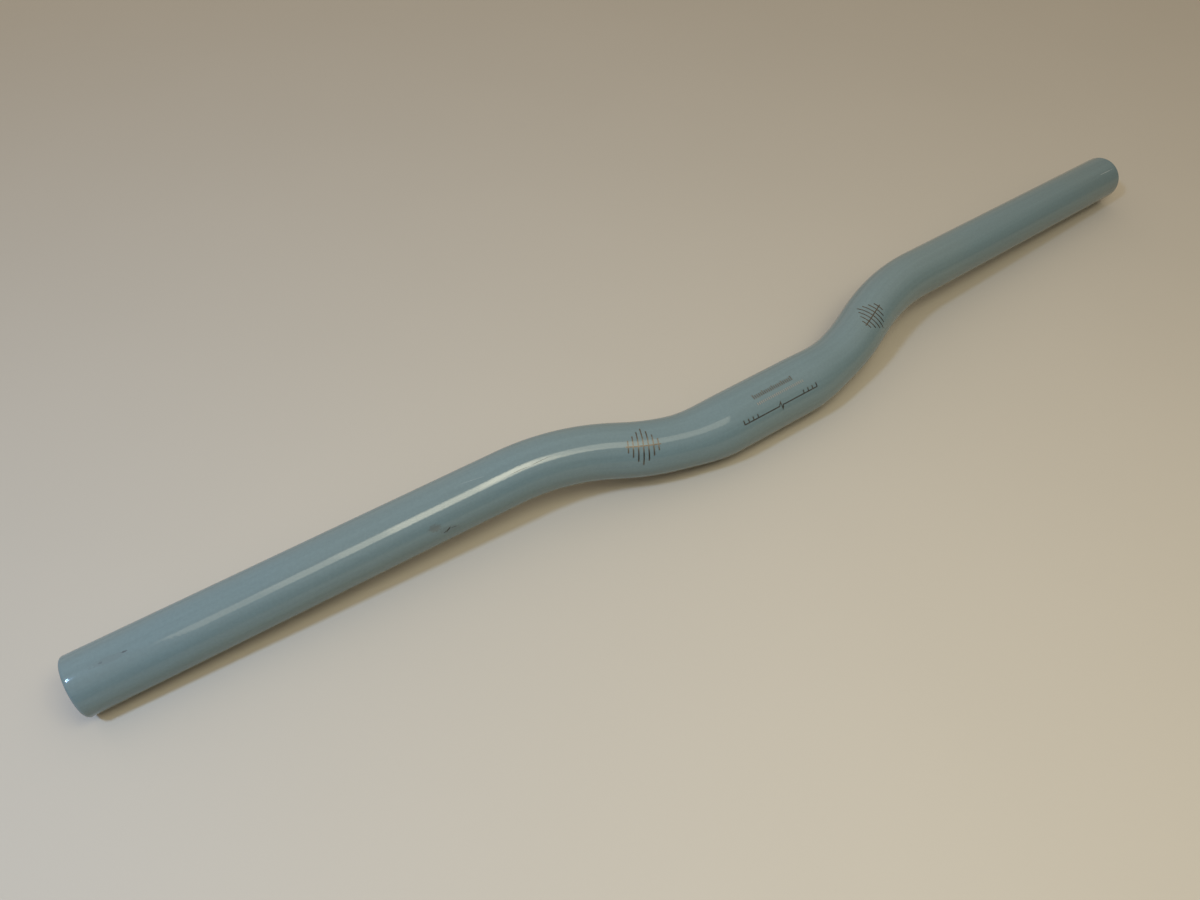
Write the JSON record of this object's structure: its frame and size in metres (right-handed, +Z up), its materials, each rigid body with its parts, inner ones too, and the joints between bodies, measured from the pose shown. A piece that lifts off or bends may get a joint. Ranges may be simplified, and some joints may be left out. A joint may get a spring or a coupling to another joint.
{
  "type": "riser handlebar",
  "caption": "Painted aluminium riser bar: a bent hollow tube with a thicker straight middle for a stem clamp, a rise on each side and long straight open ends swept slightly back.",
  "frame": {"origin": "centre of the clamped middle, on the tube's axis", "axes": "+X along the clamped middle, +Z up as the bar lies at rest on the middle and both tips, +Y towards the side that the bar rises to"},
  "size_m": [0.54, 0.053, 0.0305],
  "materials": {
    "paint": "gloss"
  },
  "bodies": {
    "root": {"handlebar": "paint"}
  },
  "joints": []
}
